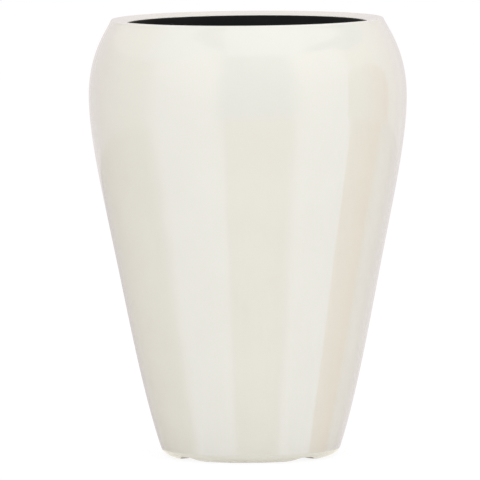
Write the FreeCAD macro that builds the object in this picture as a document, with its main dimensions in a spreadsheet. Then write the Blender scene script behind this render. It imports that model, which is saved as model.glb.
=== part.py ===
import FreeCAD, Part
import math
import os
import re
import Sketcher

# A tall round planter in lacquered fibreglass with a lift-out planting insert.
#
# Millimetres. The origin lies on the floor under the centre of the planter and +Z
# points up. The four feet point along +X, +Y, -X and -Y, the two drainage channels
# between them run along the diagonals, and -Y is the front.

SIZES = {
    # Outline of the shell: the corner over the floor, the rim, and the four points
    # between them that pull the curve out. Flare and flank are given as radius and
    # height; belly and neck are measured from the rim.
    "rim_radius": 232.5,
    "rim_height": 750.0,
    "foot_radius": 148.5,
    "flare_radius": 181.6,
    "flare_height": 96.5,
    "flank_radius": 226.3,
    "flank_height": 352.6,
    "belly_swell": 68.0,
    "belly_drop": 77.8,
    "neck_tuck": 2.3,
    "neck_drop": 8.1,
    "base_rounding": 25.0,
    "crest_rounding": 3.5,

    # Laminate of the shell.
    "wall": 5.0,
    "floor_thickness": 6.0,

    # Turned-in lip, the riser under its inner edge and the ledge that carries the insert.
    "lip_width": 28.0,
    "lip_fall": 6.8,
    "lip_thickness": 6.0,
    "lip_edge_rounding": 1.5,
    "riser_thickness": 5.0,
    "ledge_drop": 30.0,
    "ledge_thickness": 6.0,
    "ledge_width": 26.5,

    # Crossed channels that part the base into four feet.
    "channel_depth": 6.0,
    "channel_half_width": 11.0,
    "channel_side_rounding": 9.7,
    "channel_overrun": 0.3,

    # Drain hole and its plug.
    "drain_radius": 12.0,
    "plug_clearance": 0.3,
    "plug_setback": 0.5,
    "plug_flange_radius": 17.0,
    "plug_flange_thickness": 3.0,
    "plug_neck_radius": 5.0,
    "plug_neck_length": 6.0,
    "plug_grip_radius": 9.0,
    "plug_grip_thickness": 6.0,
    "plug_grip_rounding": 2.0,

    # Round rubber pads let into the feet.
    "pad_radius": 16.0,
    "pad_thickness": 2.5,
    "pad_projection": 1.0,
    "pad_clearance": 0.3,
    "pad_circle_radius": 100.0,

    # Planting insert: a tapered pot with a flange on the ledge and an upstand in the riser.
    "insert_clearance": 2.0,
    "upstand_clearance": 1.0,
    "upstand_step": 0.7,
    "pot_wall": 3.0,
    "pot_depth": 325.0,
    "pot_taper": 36.0,
    "pot_skirt": 5.0,
    "pot_corner_rounding": 8.0,
    "seep_radius": 6.0,
    "seep_circle_radius": 90.0,

    # Wire handles that lie on the flange, and the lugs that hold their ends.
    "handle_margin": 13.5,
    "handle_half_angle": 40.0,
    "handle_bend": 8.0,
    "handle_wire_radius": 3.0,
    "handle_stub": 10.0,
    "handle_rest_gap": 0.4,
    "lug_bore_clearance": 0.1,
    "lug_rounding": 6.5,
    "lug_gap": 1.5,
    "lug_thickness": 6.0,
    "lug_root": 1.0,
}

SEEP_HOLES = 8
FEET = {"right": 0, "back": 90, "left": 180, "front": 270}

# How far each point of the inner outline lies from its twin on the outer one, in walls,
# across and down: the direction square to the outline there.
INWARD = ((1.05, 0.0), (0.96, -0.28), (1.06, 0.2), (1.06, 0.18), (0.75, 0.72))

# Heights and radii that several pieces share.
FLOOR_TOP = "pad_projection + channel_depth + floor_thickness"
LIP_INNER_RADIUS = "(rim_radius - lip_width)"
LIP_SLOPE = "lip_fall / lip_width"
LIP_DEPTH = "lip_thickness * sqrt(1 + (lip_fall / lip_width) ^ 2)"
LEDGE_TOP = "(rim_height - ledge_drop)"
LEDGE_BORE_RADIUS = "(rim_radius - lip_width - ledge_width)"
POT_TOP_RADIUS = "(rim_radius - lip_width - ledge_width - insert_clearance)"
POT_FOOT_RADIUS = f"({POT_TOP_RADIUS} - pot_taper)"
POT_FOOT = "(rim_height - ledge_drop - pot_depth)"
UPSTAND_RADIUS = "(rim_radius - lip_width - upstand_clearance)"
GRIP_RADIUS = f"({UPSTAND_RADIUS} - pot_wall - handle_margin)"
HINGE_ACROSS = f"(({GRIP_RADIUS} + handle_bend) * cos(handle_half_angle) - handle_bend)"
HINGE_BEND = f"(({GRIP_RADIUS} + handle_bend) * sin(handle_half_angle))"
HINGE_HEIGHT = "(rim_height - ledge_drop + pot_wall + handle_rest_gap + handle_wire_radius)"

# A sketch's own numbers for the points of a line or arc, its axes and its origin.
START, END, CENTRE = range(1, 4)
UP_AXIS, ACROSS_AXIS = range(-2, 0)
ORIGIN = (ACROSS_AXIS, START)
SAME_PLACE = 0.05
UPWARDS = FreeCAD.Vector(0, 0, 1)

doc = FreeCAD.newDocument("Planter")
sheet = doc.addObject("Spreadsheet::Sheet", "Sizes")
for row, (name, number) in enumerate(SIZES.items(), start=1):
    sheet.set(f"A{row}", name)
    sheet.set(f"B{row}", str(number))
    sheet.setAlias(f"B{row}", name)
doc.recompute()


# ---------------------------------------------------------------- drawing helpers

def bound(formula):
    """Write a formula of size names as an expression on the sheet."""
    return re.sub(r"[a-z_]+", lambda word: "Sizes." + word[0] if word[0] in SIZES else word[0], formula)


def size(name):
    """Read one size back from the sheet."""
    return float(getattr(sheet, name))


def total(*names):
    return sum(size(name) for name in names)


def datum(body, role):
    """Find one of a body's own origin planes or axes."""
    return next(item for item in body.Origin.OriginFeatures if item.Role == role)


def new_body(name):
    body = doc.addObject("PartDesign::Body", name)
    body.Label = name
    return body


def new_sketch(body, name, role, offset=None, turn=0.0):
    """Lay a sketch on one of the body's planes, moved along its normal and turned about Z."""
    sketch = body.newObject("Sketcher::SketchObject", name)
    sketch.AttachmentSupport = (datum(body, role), [""])
    sketch.MapMode = "FlatFace"
    sketch.AttachmentOffset = FreeCAD.Placement(
        FreeCAD.Vector(), FreeCAD.Rotation(FreeCAD.Vector(0, 1, 0), turn))
    if offset:
        sketch.setExpression("AttachmentOffset.Base.z", bound(offset))
    return sketch


def drive(sketch, kind, *where, formula):
    """Add a dimension as it is drawn, and bind it to a formula of sizes."""
    if kind == "Radius":
        drawn = sketch.Geometry[where[0]].Radius
    else:
        run = sketch.getPoint(*where[2:]) - sketch.getPoint(*where[:2])
        drawn = run.x if kind == "DistanceX" else run.y
    index = sketch.addConstraint(Sketcher.Constraint(kind, *where, drawn))
    sketch.setExpression(f"Constraints[{index}]", bound(formula))


def pin(sketch, geometry, end, across, up):
    """Hold a point of a sketch at a place given by two formulas."""
    if across == "0":
        sketch.addConstraint(Sketcher.Constraint("PointOnObject", geometry, end, UP_AXIS))
    else:
        drive(sketch, "DistanceX", *ORIGIN, geometry, end, formula=across)
    if up == "0":
        sketch.addConstraint(Sketcher.Constraint("PointOnObject", geometry, end, ACROSS_AXIS))
    else:
        drive(sketch, "DistanceY", *ORIGIN, geometry, end, formula=up)


def draw_polygon(sketch, corners):
    """Draw a closed chain of lines; it starts as a small regular one and the pins place it."""
    count = len(corners)
    turns = [2 * math.pi * index / count for index in range(count)]
    start = [FreeCAD.Vector(math.cos(turn), math.sin(turn), 0) for turn in turns]
    for index in range(count):
        sketch.addGeometry(Part.LineSegment(start[index], start[(index + 1) % count]), False)
    for index, (across, up) in enumerate(corners):
        before = (index - 1) % count
        sketch.addConstraint(Sketcher.Constraint("Coincident", before, END, index, START))
        pin(sketch, index, START, across, up)


def draw_spline(sketch, poles):
    """Draw a cubic spline whose control points are held by formulas."""
    start = [FreeCAD.Vector(10 + index, 10 * index, 0) for index in range(len(poles))]
    spline = sketch.addGeometry(Part.BSplineCurve(start, None, None, False, 3, None, False), False)
    first_pole = sketch.GeometryCount
    sketch.exposeInternalGeometry(spline)
    for index, (across, up) in enumerate(poles):
        pin(sketch, first_pole + index, CENTRE, across, up)
    return spline


def draw_circle(sketch, across, up, radius):
    start = Part.Circle(FreeCAD.Vector(10, 10, 0), UPWARDS, 5)
    circle = sketch.addGeometry(start, False)
    pin(sketch, circle, CENTRE, across, up)
    drive(sketch, "Radius", circle, formula=radius)


def revolve(body, name, sketch):
    feature = body.newObject("PartDesign::Revolution", name)
    feature.Profile = sketch
    feature.ReferenceAxis = (sketch, ["V_Axis"])
    feature.Angle = 360
    return feature


def pad(body, name, sketch, length):
    feature = body.newObject("PartDesign::Pad", name)
    feature.Profile = sketch
    feature.setExpression("Length", bound(length))
    return feature


def cut_through(body, name, sketch):
    """Cut a sketch through everything on both sides of its plane."""
    feature = body.newObject("PartDesign::Pocket", name)
    feature.Profile = sketch
    feature.Type = "ThroughAll"
    feature.Midplane = True
    return feature


def repeat_round(body, name, feature, count, angle=360):
    pattern = body.newObject("PartDesign::PolarPattern", name)
    pattern.Originals = [feature]
    pattern.Axis = (datum(body, "Z_Axis"), [""])
    pattern.Angle = angle
    pattern.Occurrences = count
    body.Tip = pattern
    return pattern


def ring_edges(shape, height, radius=None):
    """Name the full circles about the Z axis at a height, or the widest one there."""
    centre = FreeCAD.Vector(0, 0, height)
    rings = {}
    for index, edge in enumerate(shape.Edges, start=1):
        if edge.isClosed() and edge.CenterOfMass.distanceToPoint(centre) < SAME_PLACE:
            rings[f"Edge{index}"] = edge.Length / (2 * math.pi)
    wanted = max(rings.values()) if radius is None else radius
    return [name for name, found in rings.items() if abs(found - wanted) < SAME_PLACE]


def round_rings(body, name, radius, *rings):
    """Round off rings of the body's last feature, each given by its height and radius."""
    doc.recompute()
    last = body.Tip
    edges = [edge for ring in rings for edge in ring_edges(last.Shape, *ring)]
    feature = body.newObject("PartDesign::Fillet", name)
    feature.Base = (last, edges)
    feature.setExpression("Radius", bound(radius))
    return feature


# ---------------------------------------------------------------- outer shell

def build_outer_shell():
    body = new_body("outer_shell")

    outer = [
        ("foot_radius", "pad_projection"),
        ("flare_radius", "flare_height"),
        ("flank_radius", "flank_height"),
        ("rim_radius + belly_swell", "rim_height - belly_drop"),
        ("rim_radius - neck_tuck", "rim_height - neck_drop"),
    ]
    inner = [(f"{across} - {inward} * wall", f"{up} - {down} * wall")
             for (across, up), (inward, down) in zip(outer, INWARD)]
    outer.append(("rim_radius", "rim_height"))
    inner.append(("rim_radius - wall", f"rim_height - wall * {LIP_SLOPE}"))

    section = new_sketch(body, "wall_section", "XZ_Plane")
    outside = draw_spline(section, outer)
    inside = draw_spline(section, inner)
    start = (FreeCAD.Vector(10, 0, 0), FreeCAD.Vector(11, 0, 0))
    for end in (START, END):
        line = section.addGeometry(Part.LineSegment(*start), False)
        section.addConstraint(Sketcher.Constraint("Coincident", line, START, inside, end))
        section.addConstraint(Sketcher.Constraint("Coincident", line, END, outside, end))
    revolve(body, "wall_turned", section)

    # The floor ends in the middle of the wall, whose lean it follows.
    lean = "(flare_radius - foot_radius) / (flare_height - pad_projection)"
    disc = new_sketch(body, "floor_section", "XZ_Plane")
    draw_polygon(disc, [
        ("0", "pad_projection"),
        ("foot_radius - wall / 2", "pad_projection"),
        (f"foot_radius - wall / 2 + (channel_depth + floor_thickness) * {lean}", FLOOR_TOP),
        ("0", FLOOR_TOP),
    ])
    revolve(body, "floor_turned", disc)

    # The lip, riser and ledge are one turned-in return of the laminate. Their section
    # runs out into the middle of the wall.
    root_radius = "(rim_radius - 0.3 * wall)"
    return_section = new_sketch(body, "lip_section", "XZ_Plane")
    riser_back = "(rim_radius - lip_width + riser_thickness)"
    draw_polygon(return_section, [
        (root_radius, f"rim_height - (rim_radius - {root_radius}) * {LIP_SLOPE}"),
        (LIP_INNER_RADIUS, "rim_height - lip_fall"),
        (LIP_INNER_RADIUS, LEDGE_TOP),
        (LEDGE_BORE_RADIUS, LEDGE_TOP),
        (LEDGE_BORE_RADIUS, f"{LEDGE_TOP} - ledge_thickness"),
        (riser_back, f"{LEDGE_TOP} - ledge_thickness"),
        (riser_back, f"rim_height - (rim_radius - {riser_back}) * {LIP_SLOPE} - {LIP_DEPTH}"),
        (root_radius, f"rim_height - (rim_radius - {root_radius}) * {LIP_SLOPE} - {LIP_DEPTH}"),
    ])
    revolve(body, "lip_turned", return_section)

    floor_top = total("pad_projection", "channel_depth", "floor_thickness")
    round_rings(body, "base_rounded", "base_rounding", (size("pad_projection"), size("foot_radius")))
    round_rings(body, "inner_corner_rounded", "base_rounding - wall", (floor_top,))
    round_rings(body, "crest_rounded", "crest_rounding", (size("rim_height"), size("rim_radius")))
    round_rings(body, "lip_edge_rounded", "lip_edge_rounding",
                (size("rim_height") - size("lip_fall"), size("rim_radius") - size("lip_width")))

    # Each channel is a flat ceiling whose sides swing down in an S to the foot plane.
    channel = new_sketch(body, "channel_section", "XZ_Plane", turn=45)
    draw_channel(channel)
    cut = cut_through(body, "channel", channel)
    repeat_round(body, "crossed_channels", cut, count=2, angle=90)

    recess = new_sketch(body, "pad_recess_outline", "XY_Plane")
    draw_circle(recess, "pad_circle_radius", "0", "pad_radius + pad_clearance")
    hollow = body.newObject("PartDesign::Pocket", "pad_recess")
    hollow.Profile = recess
    hollow.Reversed = True
    hollow.setExpression("Length", bound("pad_thickness"))
    repeat_round(body, "pad_recesses", hollow, count=len(FEET))

    drain = new_sketch(body, "drain_outline", "XY_Plane")
    draw_circle(drain, "0", "0", "drain_radius")
    cut_through(body, "drain_hole", drain)
    return body


def draw_channel(sketch):
    """Draw the bell of a channel: ceiling, two S sides of equal arcs and a base line."""
    top = total("pad_projection", "channel_depth")
    bottom = size("pad_projection") - size("channel_overrun")
    half = size("channel_half_width")
    bend = size("channel_side_rounding")
    drop = top - bottom
    swing = math.acos(1 - drop / (2 * bend))
    reach = 2 * bend * math.sin(swing)
    up, down = math.pi / 2, 3 * math.pi / 2
    point = FreeCAD.Vector

    ceiling = sketch.addGeometry(Part.LineSegment(point(half, top, 0), point(-half, top, 0)), False)
    base = sketch.addGeometry(
        Part.LineSegment(point(-half - reach, bottom, 0), point(half + reach, bottom, 0)), False)
    circles = [
        (Part.Circle(point(half, top - bend, 0), UPWARDS, bend), up - swing, up),
        (Part.Circle(point(half + reach, bottom + bend, 0), UPWARDS, bend), down - swing, down),
        (Part.Circle(point(-half, top - bend, 0), UPWARDS, bend), up, up + swing),
        (Part.Circle(point(-half - reach, bottom + bend, 0), UPWARDS, bend), down, down + swing),
    ]
    arcs = [sketch.addGeometry(Part.ArcOfCircle(*circle), False) for circle in circles]
    right_top, right_foot, left_top, left_foot = arcs
    joins = [
        (ceiling, START, right_top, END), (right_top, START, right_foot, START),
        (right_foot, END, base, END), (ceiling, END, left_top, START),
        (left_top, END, left_foot, END), (left_foot, START, base, START),
    ]
    for join in joins:
        sketch.addConstraint(Sketcher.Constraint("Tangent", *join))
    sketch.addConstraint(Sketcher.Constraint("Symmetric", ceiling, START, ceiling, END, UP_AXIS))
    for arc in (right_foot, left_top, left_foot):
        sketch.addConstraint(Sketcher.Constraint("Equal", right_top, arc))
    drive(sketch, "Radius", right_top, formula="channel_side_rounding")
    drive(sketch, "DistanceX", *ORIGIN, ceiling, START, formula="channel_half_width")
    drive(sketch, "DistanceY", *ORIGIN, ceiling, START, formula="pad_projection + channel_depth")
    drive(sketch, "DistanceY", *ORIGIN, base, START, formula="pad_projection - channel_overrun")


# ---------------------------------------------------------------- planting insert

def build_planting_insert():
    body = new_body("planting_insert")
    section = new_sketch(body, "pot_section", "XZ_Plane")
    skirt_inside = f"{POT_FOOT_RADIUS} - pot_wall"
    upstand_top = "rim_height - lip_fall - upstand_step"
    draw_polygon(section, [
        ("0", f"{POT_FOOT} + pot_skirt"),
        (skirt_inside, f"{POT_FOOT} + pot_skirt"),
        (skirt_inside, POT_FOOT),
        (POT_FOOT_RADIUS, POT_FOOT),
        (POT_TOP_RADIUS, LEDGE_TOP),
        (UPSTAND_RADIUS, LEDGE_TOP),
        (UPSTAND_RADIUS, upstand_top),
        (f"{UPSTAND_RADIUS} - pot_wall", upstand_top),
        (f"{UPSTAND_RADIUS} - pot_wall", f"{LEDGE_TOP} + pot_wall"),
        (f"{POT_TOP_RADIUS} - pot_wall", f"{LEDGE_TOP} + pot_wall"),
        (skirt_inside, f"{POT_FOOT} + pot_skirt + pot_wall"),
        ("0", f"{POT_FOOT} + pot_skirt + pot_wall"),
    ])
    revolve(body, "pot_turned", section)
    pot_floor = total("rim_height", "pot_skirt", "pot_wall") - total("ledge_drop", "pot_depth")
    round_rings(body, "pot_corner_rounded", "pot_corner_rounding", (pot_floor,))

    seep = new_sketch(body, "seep_outline", "XY_Plane")
    draw_circle(seep, "seep_circle_radius", "0", "seep_radius")
    cut = cut_through(body, "seep_hole", seep)
    repeat_round(body, "seep_holes", cut, count=SEEP_HOLES)

    lug_start = f"{HINGE_BEND} + lug_gap"
    ears = new_sketch(body, "lug_outline", "XZ_Plane", lug_start)
    draw_lug(ears, side=1)
    draw_lug(ears, side=-1)
    lugs = pad(body, "lugs", ears, "lug_thickness")

    eyes = new_sketch(body, "lug_bore_outline", "XZ_Plane", f"{lug_start} + lug_thickness / 2")
    for sign in ("", "-"):
        draw_circle(eyes, sign + HINGE_ACROSS, HINGE_HEIGHT, "handle_wire_radius + lug_bore_clearance")
    bores = body.newObject("PartDesign::Pocket", "lug_bores")
    bores.Profile = eyes
    bores.Midplane = True
    bores.setExpression("Length", bound("2 * lug_thickness"))

    mirror = body.newObject("PartDesign::Mirrored", "lug_pairs")
    mirror.Originals = [lugs, bores]
    mirror.MirrorPlane = (datum(body, "XZ_Plane"), [""])
    body.Tip = mirror
    return body


def grip_radius():
    """Radius of the handles' long arc, which lies inside the insert's upstand."""
    return size("rim_radius") - total("lip_width", "upstand_clearance", "pot_wall", "handle_margin")


def draw_lug(sketch, side):
    """Draw a round-topped lug over the flange, on the +X or -X side."""
    reach = grip_radius() + size("handle_bend")
    half = math.radians(size("handle_half_angle"))
    across = side * (reach * math.cos(half) - size("handle_bend"))
    flange_top = total("rim_height", "pot_wall") - size("ledge_drop")
    root = flange_top - size("lug_root")
    height = flange_top + total("handle_rest_gap", "handle_wire_radius")
    bend = size("lug_rounding")
    point = FreeCAD.Vector
    circle = Part.Circle(point(across, height, 0), UPWARDS, bend)
    crown = sketch.addGeometry(Part.ArcOfCircle(circle, 0, math.pi), False)
    near = sketch.addGeometry(
        Part.LineSegment(point(across + bend, root, 0), point(across + bend, height, 0)), False)
    far = sketch.addGeometry(
        Part.LineSegment(point(across - bend, height, 0), point(across - bend, root, 0)), False)
    foot = sketch.addGeometry(
        Part.LineSegment(point(across - bend, root, 0), point(across + bend, root, 0)), False)
    sketch.addConstraint(Sketcher.Constraint("Tangent", near, END, crown, START))
    sketch.addConstraint(Sketcher.Constraint("Tangent", crown, END, far, START))
    sketch.addConstraint(Sketcher.Constraint("Coincident", far, END, foot, START))
    sketch.addConstraint(Sketcher.Constraint("Coincident", foot, END, near, START))
    sketch.addConstraint(Sketcher.Constraint("Vertical", near))
    sketch.addConstraint(Sketcher.Constraint("Vertical", far))
    sketch.addConstraint(Sketcher.Constraint("Horizontal", foot))
    drive(sketch, "Radius", crown, formula="lug_rounding")
    pin(sketch, crown, CENTRE, HINGE_ACROSS if side > 0 else "-" + HINGE_ACROSS, HINGE_HEIGHT)
    drive(sketch, "DistanceY", *ORIGIN, foot, START, formula=f"{LEDGE_TOP} + pot_wall - lug_root")


# ---------------------------------------------------------------- lift handles

def build_lift_handle(name, turn):
    """Bend a wire bail along the flange; its ends turn outwards into the lugs."""
    body = new_body(name)
    route = new_sketch(body, "wire_route", "XY_Plane", HINGE_HEIGHT)
    draw_bail(route)
    section = new_sketch(body, "wire_section", "XZ_Plane", f"{HINGE_BEND} + handle_stub")
    draw_circle(section, HINGE_ACROSS, HINGE_HEIGHT, "handle_wire_radius")
    doc.recompute()
    wire = body.newObject("PartDesign::AdditivePipe", "wire")
    wire.Profile = section
    wire.Spine = (route, [f"Edge{index}" for index in range(1, len(route.Shape.Edges) + 1)])
    body.Placement = FreeCAD.Placement(
        FreeCAD.Vector(), FreeCAD.Rotation(FreeCAD.Vector(0, 0, 1), turn))
    return body


def draw_bail(sketch):
    """Draw the wire's line: stub, bend, long arc about the planter's axis, bend, stub."""
    radius, bend, stub = grip_radius(), size("handle_bend"), size("handle_stub")
    half = math.radians(size("handle_half_angle"))
    across = (radius + bend) * math.cos(half)
    along = (radius + bend) * math.sin(half)
    point = FreeCAD.Vector
    hinge = across - bend

    front_stub = sketch.addGeometry(
        Part.LineSegment(point(hinge, -along - stub, 0), point(hinge, -along, 0)), False)
    circle = Part.Circle(point(across, -along, 0), UPWARDS, bend)
    front_bend = sketch.addGeometry(Part.ArcOfCircle(circle, math.pi - half, math.pi), False)
    circle = Part.Circle(point(0, 0, 0), UPWARDS, radius)
    grip = sketch.addGeometry(Part.ArcOfCircle(circle, -half, half), False)
    circle = Part.Circle(point(across, along, 0), UPWARDS, bend)
    back_bend = sketch.addGeometry(Part.ArcOfCircle(circle, math.pi, math.pi + half), False)
    back_stub = sketch.addGeometry(
        Part.LineSegment(point(hinge, along, 0), point(hinge, along + stub, 0)), False)

    joins = [
        (front_stub, END, front_bend, END), (front_bend, START, grip, START),
        (grip, END, back_bend, END), (back_bend, START, back_stub, START),
    ]
    for join in joins:
        sketch.addConstraint(Sketcher.Constraint("Tangent", *join))
    sketch.addConstraint(Sketcher.Constraint("Coincident", grip, CENTRE, *ORIGIN))
    sketch.addConstraint(Sketcher.Constraint("Symmetric", grip, START, grip, END, ACROSS_AXIS))
    for line in (front_stub, back_stub):
        sketch.addConstraint(Sketcher.Constraint("Vertical", line))
        drive(sketch, "DistanceY", line, START, line, END, formula="handle_stub")
    for arc in (front_bend, back_bend):
        drive(sketch, "Radius", arc, formula="handle_bend")
    drive(sketch, "Radius", grip, formula=GRIP_RADIUS)
    drive(sketch, "DistanceY", *ORIGIN, grip, END, formula=f"{GRIP_RADIUS} * sin(handle_half_angle)")


# ---------------------------------------------------------------- drain plug

def build_drain_plug():
    body = new_body("drain_plug")
    section = new_sketch(body, "plug_section", "XZ_Plane")
    stem = "drain_radius - plug_clearance"
    flange_top = f"{FLOOR_TOP} + plug_flange_thickness"
    grip_foot = f"{flange_top} + plug_neck_length"
    draw_polygon(section, [
        ("0", "pad_projection + channel_depth + plug_setback"),
        (stem, "pad_projection + channel_depth + plug_setback"),
        (stem, FLOOR_TOP),
        ("plug_flange_radius", FLOOR_TOP),
        ("plug_flange_radius", flange_top),
        ("plug_neck_radius", flange_top),
        ("plug_neck_radius", grip_foot),
        ("plug_grip_radius", grip_foot),
        ("plug_grip_radius", f"{grip_foot} + plug_grip_thickness"),
        ("0", f"{grip_foot} + plug_grip_thickness"),
    ])
    revolve(body, "plug_turned", section)
    floor_top = total("pad_projection", "channel_depth", "floor_thickness")
    grip_foot_height = floor_top + total("plug_flange_thickness", "plug_neck_length")
    round_rings(body, "grip_rounded", "plug_grip_rounding",
                (grip_foot_height, size("plug_grip_radius")),
                (grip_foot_height + size("plug_grip_thickness"), size("plug_grip_radius")))
    return body


# ---------------------------------------------------------------- foot pads

def build_foot_pad(name, angle):
    """Stand a round pad in the recess of the foot at this angle about Z."""
    disc = doc.addObject("Part::Cylinder", name)
    disc.Label = name
    disc.setExpression("Radius", bound("pad_radius"))
    disc.setExpression("Height", bound("pad_thickness"))
    disc.setExpression("Placement.Base.x", bound(f"pad_circle_radius * cos({angle})"))
    disc.setExpression("Placement.Base.y", bound(f"pad_circle_radius * sin({angle})"))
    return disc


# ---------------------------------------------------------------- the whole planter

pieces = [
    build_outer_shell(),
    build_planting_insert(),
    build_lift_handle("right_lift_handle", turn=0),
    build_lift_handle("left_lift_handle", turn=180),
    build_drain_plug(),
]
pieces += [build_foot_pad(f"{side}_foot_pad", angle) for side, angle in FEET.items()]
doc.recompute()

for item in doc.Objects:
    if {"Invalid", "Error"} & set(item.State):
        raise RuntimeError(f"{item.Name} failed: {item.State}")
for piece in pieces:
    if piece.Shape.isNull() or not piece.Shape.isValid() or len(piece.Shape.Solids) != 1:
        raise RuntimeError(f"{piece.Label} is not one valid solid")

os.makedirs("parts", exist_ok=True)
for piece in pieces:
    piece.Shape.exportStep(f"parts/{piece.Label}.step")
    box = piece.Shape.BoundBox
    print(f"{piece.Label:18} {piece.Shape.Volume / 1000:9.1f} cm3"
          f"  x {box.XMin:.1f} to {box.XMax:.1f}"
          f"  y {box.YMin:.1f} to {box.YMax:.1f}"
          f"  z {box.ZMin:.2f} to {box.ZMax:.2f}")
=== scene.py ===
# %% [markdown]
# # A tall lacquered planter
#
# The planter is a round fibreglass shell with a pearl-white gloss lacquer, and it holds a black
# plastic pot that lifts out by two wire handles. The measured parts come in first, as a fixed
# frame in metres, and every piece below is built around them in the same place.

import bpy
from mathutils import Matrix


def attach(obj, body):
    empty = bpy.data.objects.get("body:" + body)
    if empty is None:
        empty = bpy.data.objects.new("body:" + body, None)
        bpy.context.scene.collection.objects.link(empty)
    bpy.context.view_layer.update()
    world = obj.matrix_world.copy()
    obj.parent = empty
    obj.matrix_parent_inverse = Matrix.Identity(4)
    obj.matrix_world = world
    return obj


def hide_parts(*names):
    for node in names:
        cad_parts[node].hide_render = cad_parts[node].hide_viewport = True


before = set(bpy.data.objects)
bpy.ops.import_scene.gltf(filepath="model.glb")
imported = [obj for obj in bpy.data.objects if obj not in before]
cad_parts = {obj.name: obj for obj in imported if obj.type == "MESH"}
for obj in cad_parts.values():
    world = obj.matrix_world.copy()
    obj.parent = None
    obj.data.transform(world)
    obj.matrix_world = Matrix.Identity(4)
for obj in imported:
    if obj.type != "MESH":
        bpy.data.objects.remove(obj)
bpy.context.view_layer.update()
print("measured parts:", sorted(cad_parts))

# %% Tools from Python and Blender
import math

import bpy
from mathutils import Matrix, Vector
from mathutils.geometry import intersect_line_line_2d

# %% [markdown]
# ## The curve of the wall
#
# A laminate is laid up in a mould, so the planter's wall is one long smooth curve from the foot
# to the rim. A NURBS curve is the natural tool: a few control points pull the line out, and it
# stays smooth between them. Blender can turn such a curve into points, which later become the
# outline that is turned round the axis. Sizes are in millimetres, as in a drawing.

# %% Points on a smooth curve
def smooth_line(control_points, steps):
    """Points along a cubic NURBS curve given as (radius, height) control points."""
    curve = bpy.data.curves.new("outline", "CURVE")
    curve.dimensions = "3D"
    spline = curve.splines.new("NURBS")
    spline.points.add(len(control_points) - 1)
    for point, (radius, height) in zip(spline.points, control_points):
        point.co = (radius, 0.0, height, 1.0)
    spline.order_u = 4
    spline.use_endpoint_u = True
    spline.resolution_u = steps
    holder = bpy.data.objects.new("outline", curve)
    points = [Vector((v.co.x, v.co.z)) for v in bpy.data.meshes.new_from_object(holder).vertices]
    bpy.data.objects.remove(holder)
    return points


SOLE_RADIUS, SOLE_HEIGHT = 148.5, 1.0
RIM_RADIUS, RIM_HEIGHT = 232.5, 750.0
OUTSIDE_POINTS = [(SOLE_RADIUS, SOLE_HEIGHT), (181.6, 96.5), (226.3, 352.6), (300.35, 672.2),
                  (230.2, 741.9), (RIM_RADIUS, RIM_HEIGHT)]
outside = smooth_line(OUTSIDE_POINTS, 60)
widest = max(outside, key=lambda point: point.x)
print(f"outside of the wall: {len(outside)} points, widest {2 * widest.x:.1f} mm at {widest.y:.0f} mm")

# %% [markdown]
# ## The inner face
#
# The laminate is 5 mm thick. Its inner face follows the outer one, so each control point steps
# inwards by the wall, square to the curve there. The step is slightly more or less than one wall
# because the curve passes beside its control points and not through them.

# %% The inner face of the wall
WALL = 5.0
STEPS_INWARD = [(1.05, 0.0), (0.96, -0.28), (1.06, 0.2), (1.06, 0.18), (0.75, 0.72)]
LIP_RADIUS, LIP_DROP = 204.5, 6.8
LIP_SLOPE = LIP_DROP / (RIM_RADIUS - LIP_RADIUS)

inside_points = [(radius - across * WALL, height - down * WALL)
                 for (radius, height), (across, down) in zip(OUTSIDE_POINTS, STEPS_INWARD)]
inside_points.append((RIM_RADIUS - WALL, RIM_HEIGHT - WALL * LIP_SLOPE))
inside = smooth_line(inside_points, 60)
print(f"inner face: {len(inside)} points")

# %% [markdown]
# ## Rounded corners
#
# A lacquered laminate has no sharp edge, because the coating would run thin on it. An arc of a
# chosen radius is fitted between two runs of points: its centre lies one radius from both. The
# helper walks along the first run, offsets it by the radius and stops where that offset point is
# also one radius from the second run. A bevel modifier could round edges too, but here the
# radii are real sizes and both neighbours are curves.

# %% An arc between two runs of points
def resampled(points, steps):
    """The same run of points at equal distances."""
    reach = [0.0]
    for before, after in zip(points, points[1:]):
        reach.append(reach[-1] + (after - before).length)
    result, index = [], 0
    for step in range(steps + 1):
        distance = reach[-1] * step / steps
        while index < len(points) - 2 and reach[index + 1] < distance:
            index += 1
        share = (distance - reach[index]) / (reach[index + 1] - reach[index])
        result.append(points[index].lerp(points[index + 1], share))
    return result


def nearest_place(points, target):
    """The index and place of the point of a run that lies nearest to a target."""
    best = (1e9, 0, points[0])
    for index, (start, end) in enumerate(zip(points, points[1:])):
        run = end - start
        share = min(1.0, max(0.0, (target - start).dot(run) / run.length_squared))
        place = start + run * share
        best = min(best, ((target - place).length, index, place), key=lambda item: item[0])
    return best


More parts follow.
